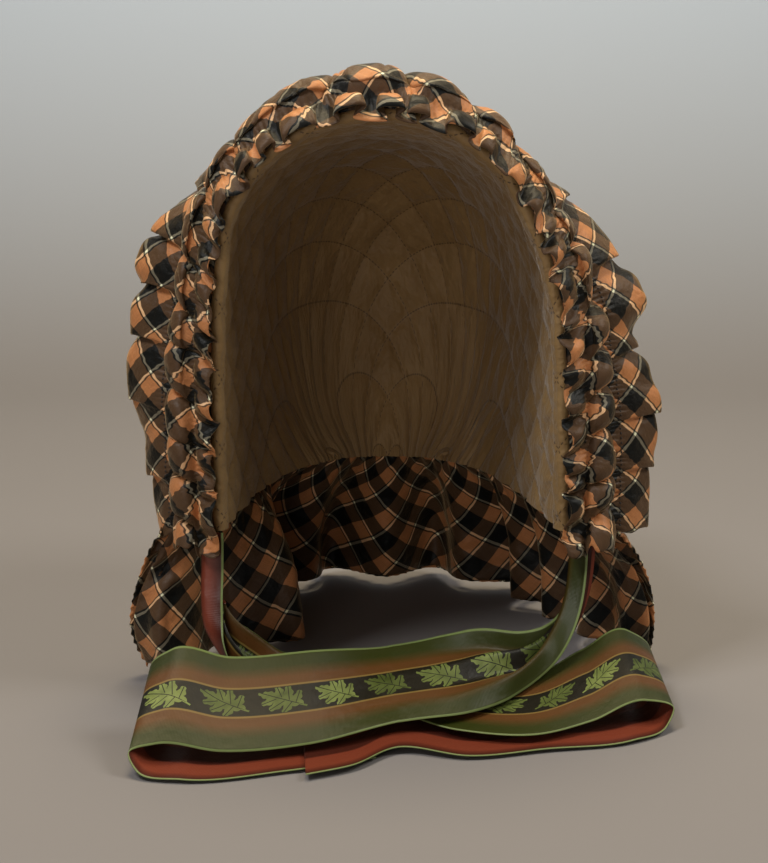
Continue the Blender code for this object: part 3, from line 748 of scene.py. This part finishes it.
def lining(look):
    """The gold silk inside the hood, quilted, and rolled over the face edge, with stitches behind it."""
    columns, rows, rolled = 360, 160, 10
    wall = arches(HOLLOW, np.linspace(0.0, len(HOLLOW) - 1, rows), columns)
    away = outwards_level(wall)
    plan = flat_plan(wall)
    relief = quilted(plan)
    from_edge = plan[..., 1]
    from_row = from_edge - LINING_STITCHES
    row_line = np.exp(-((from_row / 0.0022) ** 2))
    puckers = noise(plan[..., 0] / 0.0035, 0 * from_edge, 8) * np.exp(-np.abs(from_row) / 0.006)
    fade = capped(from_row / 0.01)
    height = LINING_DEPTH * relief * (0.3 + 0.7 * fade) * (1 - 0.8 * row_line)
    height += 0.0009 * puckers * (1 - row_line)
    height += 0.0005 * noise(plan[..., 0] / 0.006, from_edge / 0.006, 9)
    height += EDGE_ROLL * 0.9 * np.exp(-((from_edge - 0.004) / 0.006) ** 2)
    inner = wall - away * (0.0016 + np.maximum(height, -0.0003))[:, :, None]
    forward = unit(wall[0] - wall[1])
    turn = np.linspace(math.radians(150), 0, rolled + 1)[:-1, None, None]
    roll = inner[0] + EDGE_ROLL * (forward * np.sin(turn) + away[0] * (1 - np.cos(turn)))
    inner = on_seam(np.concatenate([roll, inner]))
    plan = np.concatenate([plan[:1] - EDGE_ROLL * turn * np.array([0.0, 1.0]), plan])
    piece = dressed(cloth("lining_sheet", inner, plan, (look,)), "lining")


def gathered_sheet(name, node, grid, plan, look, turned=False):
    """A gathered sheet of plaid silk, with its flat plan as its UVs."""
    piece = dressed(cloth(name, grid, plan, (look,), SILK_WALL, turned), node)


# The ruche round the face


def gathers(share, lobes):
    """The phase of gathers of uneven length along the face edge, longest over the top."""
    whole, over_top = lobes
    turns = whole * share + (whole - over_top) / (2 * math.pi) * np.sin(2 * math.pi * share)
    phase = 2 * math.pi * turns
    for cycles, radians, start in LOBE_DRIFT:
        phase += radians * np.sin(2 * math.pi * cycles * turns / whole + start)
    return phase


def shingles(share, free):
    """The flounce's panels, each rising from 0 to 1 down the side of the face, where it laps the next."""
    from_top = np.abs(share - TOP) / 0.5
    turns = FLOUNCE_LOBES / 2 * from_top + 0.42 * noise(share * 7, 0 * free, 23)
    turns += 0.14 * noise(share * 19, 0 * free, 28)
    turns += 0.12 * free
    part = turns - np.floor(turns)
    opened = 1 - capped(1 - part / PANEL_OPEN) ** 2.2
    under = 0.5 + 0.5 * np.cos(math.pi * (part - PANEL_OPEN) / (1 - PANEL_OPEN))
    return np.where(part < PANEL_OPEN, opened, under)


def reached(base, hinge, share):
    """The ruche's base with the rows past its hinge drawn out or in, as REACH says."""
    at, spread, change = (column(REACH, REACH_COLUMNS, key)[:, None] for key in REACH_COLUMNS[1:])
    scale = 1 + (change * np.exp(-(((share[None, :] - at) / spread) ** 4))).sum(axis=0)
    made = base.copy()
    for axis in (0, 2):
        seam = base[hinge, :, axis]
        made[hinge:, :, axis] = seam + (base[hinge:, :, axis] - seam) * scale
    return made


def puff_forms(share, place, down, over_top, puff):
    """The puff's gathers: how far they swell out, run along the edge and roll towards the face."""
    phase = gathers(share, PUFFS) + 0.60 * down * (place - 3) + 0.6 * noise(share * 22, place * 0.4, 21)
    phase -= 1.8 * np.exp(-(((share - TOP) / 0.13) ** 2))
    phase += 0.45 * down * np.sin(phase)
    crest = np.abs(np.cos(phase / 2)) ** 0.55
    size = 1 + 0.30 * noise(share * 24, 0 * place, 22)
    deep = 0.9 - 0.8 * over_top
    swell = puff * size * (1 - 0.3 * over_top) * ((2 + deep) * crest - 1 - deep) + 0.3 * over_top * puff
    spread = (0.0018 + 0.0008 * over_top) * capped(puff / 0.003) * np.sin(phase)
    rolled = np.exp(-((place - 2.4 + 0.5 * over_top) ** 2) / 1.2)
    return swell, spread, (0.0036 + 0.0040 * over_top) * rolled * (crest + 0.1)


def ruffle_forms(share, place, over_top):
    """The ruffle at the face: how far it stands out, runs along the edge and rolls towards the face."""
    near_face = capped(1 - place)
    ruffle = gathers(share, RUFFLES) + 0.9 * noise(share * 31, place * 0.3, 27)
    bead = 0.0030 * np.sin(math.pi * near_face) * (1.7 * np.abs(np.cos(ruffle / 2)) ** 0.6 - 0.7)
    reach = near_face**0.7 * (0.0016 + 0.0026 * over_top) * (1 + 0.4 * noise(share * 37, 0 * place, 30))
    radial = reach * np.cos(ruffle)
    meander = (0.3 + 0.9 * over_top) * reach * np.sin(2 * ruffle)
    return bead + 0.8 * radial, meander, 0.4 * reach * np.cos(ruffle + 1.2) - 0.6 * radial


def flounce_forms(share, free, down, lobe):
    """The flounce's panels: how far they flare out, lap the next one and scale its reach."""
    beside = capped((np.abs(share - TOP) - 0.10) / 0.12)
    panel = shingles(share, free)
    size = np.clip(1 + 0.8 * noise(share * 15, 0 * free, 24), 0.3, 1.7)
    flare = 0.5 * lobe * (panel - 0.45) * size * (0.3 + 0.7 * beside)
    flare += 0.0018 * free * noise(share * 26, free * 2, 29)
    lap = 0.0070 * free**1.3 * panel**2 * down * beside
    return flare, lap, 1 + free * (0.05 * panel * size - 0.02) * beside


def fine_forms(share, place, down, free):
    """The small pleats at the stitched rows, and the crushed silk between them."""
    sewn = np.min([np.abs(place - row) for row in STITCHED], axis=0)
    near = np.exp(-sewn / np.where(place > STITCHED[1], 0.14, 0.28)) + np.exp(-np.abs(place - 1) / 0.30)
    fine = gathers(share, PUCKERS) + 2.6 * noise(share * 60, place * 0.6, 25)
    pleats = 0.00055 * near * np.sin(fine) * (1 + 0.6 * noise(share * 90, place * 0.4, 35))
    sunk = -0.0006 * np.exp(-((sewn / 0.10) ** 2))
    crush = 0.0009 * noise(share * 62 + 0.7 * down * place, place * 0.5, 26) * np.exp(-free / 0.5)
    crush += 0.0007 * (0.5 - np.abs(noise(share * 110 - 0.9 * down * place, place * 0.8, 36)))
    slanting = np.abs(noise(share * 46 + 0.9 * down * place, place * 0.7, 37))
    crush -= 0.0019 * np.exp(-slanting / 0.18) * np.exp(-(((place - 3.6) / 1.9) ** 4))
    return pleats + sunk + crush


def end_drop(share, place):
    """How far the ruche's two ends hang below the neck seam."""
    hanging = capped(1 - np.minimum(share, 1 - share) / 0.035) ** 1.3
    drop = 0.0105 + 0.0030 * np.sin(2.1 * place) + 0.0020 * np.sin(5.3 * place + 1.0)
    return hanging * np.clip(drop, 0.004, 0.014) * np.clip(1.3 - 0.16 * place, 0.2, 1)


def ruche_grid():
    """The gathered silk round the face, with its rows' places and its normals."""
    columns, rows = 1000, 48
    places = np.linspace(0, len(RUCHE) - 1, rows)
    hinge = int(np.searchsorted(places, HINGE_ROW))
    base = reached(arches(RUCHE, places, columns), hinge, np.linspace(0, 1, columns))
    away = outwards(base)
    along = unit(np.gradient(base, axis=1))
    inwards = -unit(np.gradient(base, axis=0))
    share, place = np.linspace(0, 1, columns)[None, :], places[:, None]
    keys = np.arange(len(RUCHE))
    forms = (smooth(keys, column(RUCHE, RUCHE_COLUMNS, key), places) for key in RUCHE_COLUMNS[-3:])
    lift, puff, lobe = (form[:, None] for form in forms)
    down = np.sign(share - TOP) * capped(np.abs(share - TOP) / 0.06)
    over_top = np.exp(-(((share - TOP) / 0.17) ** 2))
    free = capped((place - HINGE_ROW) / 2)

    swell, spread, over = puff_forms(share, place, down, over_top, puff)
    bead, meander, curl = ruffle_forms(share, place, over_top)
    flare, lap, tips = flounce_forms(share, free, down, np.maximum(lobe, 0))
    height = lift + swell + bead + flare + fine_forms(share, place, down, free)
    made = np.where(free[:, :, None] > 0, base[hinge] + (base - base[hinge]) * tips[:, :, None], base)
    made += away * height[:, :, None] + along * (spread + lap + meander)[:, :, None]
    made += inwards * (over + curl)[:, :, None]
    made[:, :, 2] -= end_drop(share, place)
    return made, places, away


def face_ruche(look, stitch_look):
    """The ruche and its two rows of running stitches."""
    grid, places, away = ruche_grid()
    plan = flat_plan(grid, int(np.searchsorted(places, HINGE_ROW)), gathered=True)
    gathered_sheet("face_ruche_gathers", "face_ruche", grid, plan, look, turned=True)
    rows = np.searchsorted(places, STITCHED)
    stitches("ruche_stitches", grid[rows], away[rows[0]], stitch_look)


def stitch_points(middle, up):
    """A short tapered thread through three points, as three rings of four corners."""
    thick = 0.00060
    side = unit(np.cross(middle[2] - middle[0], up))
    points = []
    for centre, width, rise in zip(middle, (0.6, 1.0, 0.6), (0.0003, 0.0008, 0.0003)):
        for turn in range(4):
            angle = math.pi / 2 * turn
            offset = side * math.cos(angle) + up * math.sin(angle)
            points.append(centre + up * rise + offset * thick * width)
    return points


def stitches(name, lines, away, look):
    """Running stitches along lines of points."""
    step, length, from_end = 0.0027, 0.0017, 0.004
    side = np.array([(0, 1, 5, 4), (1, 2, 6, 5), (2, 3, 7, 6), (3, 0, 4, 7)])
    faces = np.concatenate([side, side + 4, [(3, 2, 1, 0), (8, 9, 10, 11)]])
    points, quads = [], []
    for line in lines:
        run = length_along(line)
        for start in np.arange(from_end, run[-1] - from_end, step):
            at = start + np.array([0.0, 0.5, 1.0]) * length
            up = unit(read_line(at[1:2], run, away))[0]
            quads.append(faces + len(points))
            points.extend(stitch_points(read_line(at, run, line), up))
    points = np.array(points)
    plan = np.stack([np.arange(len(points)) % 4 * 0.0003, points[:, 0]], axis=1)
    made = surface(name, points, np.concatenate(quads), plan, (look,))
    return dressed(made, None)


# The curtain


def seam_line(share):
    """Points on the neck seam, in the middle of the padded wall, at the shares of its length."""
    left = np.array([(x, y, NECK_Z - SEAM_GAP) for x, y in SEAM])
    right = left[-2::-1] * np.array([-1.0, 1.0, 1.0])
    line = np.concatenate([left, right])
    run = length_along(line)
    return smooth(run / run[-1], line, share)


def hem_size(name, share):
    """One column of HEM, read at the shares of the neck seam."""
    return smooth(column(HEM, HEM_COLUMNS, "share"), column(HEM, HEM_COLUMNS, name), share)


def hem_line(share):
    """Points on the curtain's hem at the shares of the neck seam."""
    hem_z = np.full(len(share), TABLE_Z + HEM_LIFT)
    return np.stack([hem_size("x", share), hem_size("y", share), hem_z], axis=1)


def curtain_points(share, down):
    """Points of the curtain's cloth, at shares of the seam and of the way down to the hem."""
    top, hem = seam_line(share), hem_line(share)
    spread = 1 - (1 - np.abs(down)) ** 2.4
    made = top + (hem - top) * spread[:, None]
    belly = hem_size("belly", share) * np.sin(math.pi * capped(down) ** 1.6)
    made += level(hem) * belly[:, None]
    made[:, 2] = top[:, 2] + (hem - top)[:, 2] * down
    return made


def curtain_frame(share, down):
    """Points of the curtain and the unit normals there, pointing out."""
    step = 0.004
    here = curtain_points(share, down)
    left, right = (curtain_points(capped(share + way), down) for way in (-step, step))
    above, below = (curtain_points(share, capped(down + way)) for way in (-step, step))
    return here, unit(np.cross(right - left, below - above))


def hem_shares(count):
    """Shares of the neck seam, evenly apart along the hem."""
    fine = np.linspace(0, 1, 1921)
    run = length_along(hem_line(fine))
    return np.interp(np.linspace(0, run[-1], count), run, fine)


def curtain(look):
    """The gathered neck curtain, with its fine gathers under the seam."""
    columns, rows = 640, 44
    share, down = np.meshgrid(hem_shares(columns), np.linspace(0, 1, rows))
    middle, away = curtain_frame(share.ravel(), down.ravel())
    middle, away = middle.reshape(rows, columns, 3), away.reshape(rows, columns, 3)
    away[0] = level(away[0])
    run = share * SEAM_LENGTH
    pleats = np.sin(2 * math.pi * run / 0.0062 + 2.4 * noise(share * 30, 0 * down, 31))
    height = 0.0011 * pleats * np.exp(-down / 0.16) * capped(down / 0.02)
    folds = noise(share * 46 + 0.8 * noise(share * 12, down * 2, 32), down * 1.3, 33)
    height += 0.0022 * folds * capped(down / 0.25)
    height += 0.0005 * noise(share * 120, down * 16, 34)
    at_corner = np.exp(-((np.minimum(share, 1 - share) / 0.10) ** 2)) * capped(down / 0.12)
    slack = np.abs(noise(share * 16 + down, down * 5.5 + share * 8, 38))
    height += 0.0042 * (slack - 0.25) * at_corner * capped(1.2 - down)
    grid = middle + away * height[:, :, None]
    plan = flat_plan(grid, gathered=True)
    gathered_sheet("curtain_gathers", "curtain", grid, plan, look)


def border_path(inset, count):
    """Shares and depths along the curtain's border, from the left front edge round the hem to the right."""
    depth = abs(NECK_Z - TABLE_Z) - HEM_LIFT
    side, low = 0.022 * inset / CURTAIN_RUCHE_WIDTH, 1 - inset / depth
    top, front = 0.06, 0.13  # how far down the strip starts, and the share of it on each front edge
    turns = np.array([(side, top), (side, low), (1 - side, low), (1 - side, top)])
    stops = np.array([0.0, front, 1 - front, 1.0])
    sides = round(count * stops[1])
    first, last = np.linspace(0, stops[1], sides)[:-1], np.linspace(stops[2], 1, sides)[1:]
    on_hem = stops[1] + (stops[2] - stops[1]) * hem_shares(count - 2 * sides + 2)
    at = np.concatenate([first, on_hem, last])
    return np.interp(at, stops, turns[:, 0]), np.interp(at, stops, turns[:, 1])


def curtain_ruche(look):
    """The narrow ruched strip along the curtain's front edges and hem."""
    columns, rows = 1300, 13
    along = np.linspace(0, 1, columns)
    edge = curtain_points(*border_path(0.0, columns))
    on_hem = (border_path(0.0, columns)[1] > 0.999)[:, None]
    outward = unit(edge - curtain_points(*border_path(0.004, columns)))
    past = outward * np.where(on_hem, *CURTAIN_RUCHE_PAST[::-1])
    lobes = 2 * math.pi * CURTAIN_RUCHE_LOBES * along + 1.2 * noise(along * 40, 0, 41)
    lines = []
    for across in np.linspace(0, 1, rows):
        share, down = border_path(across * CURTAIN_RUCHE_WIDTH, columns)
        line, away = curtain_frame(share, down)
        line = line + past * (1 - across)
        edge_near = min(across, 1 - across)
        arch_rise = math.sin(math.pi * capped((across - 0.12) / 0.76)) ** 0.7
        wave = np.abs(np.cos(lobes / 2 + 1.2 * (across - 0.5)))
        rise = arch_rise * (0.0022 + 0.0030 * wave) + 0.0007 * np.sin(lobes * 2) * (edge_near < 0.1)
        lines.append(line + away * (0.0024 + rise)[:, None])
    grid = np.array(lines)
    plan = flat_plan(grid, gathered=True)
    gathered_sheet("curtain_ruche_gathers", "curtain_ruche", grid, plan, look)


# The ties


def ribbon_grid(rows, stations, across, side):
    """Points over a ribbon's width, station by station, with its pleat towards one side."""
    names = TIE_COLUMNS
    front = np.stack([column(rows, names, key) for key in ("x", "y", "z")], axis=1)
    keys = length_along(front)
    at = np.linspace(0, keys[-1], stations)
    line = smooth(keys, front, at)
    lean, turn, pleat = (smooth(keys, column(rows, names, key), at) for key in names[-3:])
    lean, turn = np.radians(lean), np.radians(turn)
    width = np.stack([np.cos(lean) * np.sin(turn), np.cos(lean) * np.cos(turn), np.sin(lean)], axis=1)
    normal = unit(np.cross(np.gradient(line, axis=0), width))
    fold = np.arccos(1 - 0.92 * capped(pleat))[:, None]
    share = np.linspace(0, 1, across)
    step = RIBBON_WIDTH / (across - 1)
    panels = np.sin(PLEAT_PANELS * math.pi * (share[1:] + share[:-1]) / 2)
    zigzag = side * np.clip(panels * 3.0, -1, 1)[None, :]
    start = np.zeros((stations, 1))
    over = np.hstack([start, np.cumsum(step * np.cos(fold * np.abs(zigzag)), axis=1)])
    out = np.hstack([start, np.cumsum(step * np.sin(fold * zigzag), axis=1)])
    out = out - (out.max(axis=1, keepdims=True) + out.min(axis=1, keepdims=True)) / 2
    return line[:, None] + over[:, :, None] * width[:, None] + out[:, :, None] * normal[:, None]


def tie(name, node, rows, side, turned, looks):
    """A ribbon tie with its figured face and plain reverse."""
    grid = ribbon_grid(rows, 560, 31, side)
    grid[0, :, 2] = NECK_Z - SEAM_GAP
    run = length_along(grid[:, 15])
    plan = np.zeros((*grid.shape[:2], 2))
    plan[..., 0] = run[:, None]
    plan[..., 1] = np.linspace(0, RIBBON_WIDTH, grid.shape[1])[None, :]
    piece = cloth(name, grid, plan, looks, RIBBON_WALL, turned)
    dressed(piece, node)


# The room


def room():
    """A plain floor that runs up into a backdrop, with painted shade along the floor and painted light up
    the wall.
    """
    bend = np.linspace(0.1, math.pi / 2, 14)
    radius, wall_y, wall_top = 0.5, 0.75, 3.0
    depth = np.concatenate([np.linspace(-3.0, wall_y, 12), wall_y + radius * np.sin(bend)])
    height = np.concatenate([np.zeros(12), radius - radius * np.cos(bend)])
    depth, height = np.append(depth, depth[-1]), np.append(height, wall_top)
    floor_z = TABLE_Z - FLOOR_GAP
    points = np.array([[(x, y, floor_z + z) for x in (-4.0, 4.0)] for y, z in zip(depth, height)])
    paper, shader, *_ = cloth_material("paper", 0.9, 0.0, 0.1)
    where = shader.id_data.nodes.new("ShaderNodeNewGeometry").outputs["Position"]
    rise = add("SeparateXYZ", {0: where}).outputs[2]
    # painted shade and light: the paper steps from the darker floor colour to the lighter, bluer backdrop
    # as it rises
    tone = stepped(plus(rise, 0.30), ((0.0, FLOOR), (0.38, BACKDROP)), True)
    painted(shader, tone)
    cloth("backdrop", points, np.zeros((*points.shape[:2], 2)), (paper,))


def lamp(name, place, aim, size, power, colour):
    """A soft square lamp."""
    light = bpy.data.lights.new(name, "AREA")
    light.shape = "SQUARE"
    light.size = size
    light.energy = power
    light.color = colour
    made = bpy.data.objects.new(name, light)
    made.location = place
    made.rotation_euler = (Vector(aim) - Vector(place)).to_track_quat("-Z", "Y").to_euler()
    placed(made)


def lights():
    """Two soft lamps beside the hood, one over it, a weak one before it, and a dim grey room."""
    aim = (0.0, -0.02, -0.12)
    lamp("left", (-0.80, -0.80, 1.50), aim, 0.5, 18.0, (1.0, 0.98, 0.96))
    lamp("right", (1.15, -0.30, 0.95), aim, 0.6, 11.0, (1.0, 0.96, 0.88))
    lamp("over", (0.0, 0.30, 1.5), aim, 0.8, 24.0, (1.0, 0.84, 0.56))
    lamp("front", (-0.35, -1.30, 0.02), aim, 0.5, 2.4, (1.0, 0.91, 0.84))
    world = bpy.data.worlds.new("room")
    world.use_nodes = True
    ground = world.node_tree.nodes["Background"]
    ground.inputs[0].default_value = (0.62, 0.60, 0.58, 1.0)
    ground.inputs[1].default_value = 0.10
    bpy.context.scene.world = world


def camera():
    """The photograph's viewing angle."""
    target, distance, elevation = Vector((0.0, -0.08, -0.156)), 1.10, math.radians(12)
    lens = bpy.data.cameras.new("camera")
    lens.sensor_fit = "VERTICAL"
    lens.sensor_width = 36.0
    lens.sensor_height = 36.0
    lens.lens = PICTURE_LENS / PICTURE_HEIGHT * lens.sensor_height
    lens.shift_x = PICTURE_SHIFT / PICTURE_HEIGHT
    lens.clip_start = 0.01
    made = bpy.data.objects.new("camera", lens)
    away = Vector((0.0, -math.cos(elevation), math.sin(elevation)))
    made.location = target + away * distance
    made.rotation_euler = (-away).to_track_quat("-Z", "Y").to_euler()
    bpy.context.scene.camera = placed(made)


def main():
    """Makes the looks, the pieces and the room."""
    plaid = plaid_silk("plaid_silk_gathered")
    quilted_plaid = plaid_silk("plaid_silk_quilted", True)
    gold = gold_lining("gold_lining_silk")
    ribbon = (ribbon_face("ribbon_face"), ribbon_reverse("ribbon_reverse"))
    dark = thread("sewing_silk")
    brim(quilted_plaid)
    crown(quilted_plaid)
    lining(gold)
    face_ruche(plaid, dark)
    curtain(plaid)
    curtain_ruche(plaid)
    tie("ribbon_right", "tie_right", RIGHT_TIE, -1, False, ribbon)
    tie("ribbon_left", "tie_left", LEFT_TIE, -1, True, ribbon)
    room()
    lights()
    camera()
    bpy.context.scene.view_settings.view_transform = "Standard"


main()
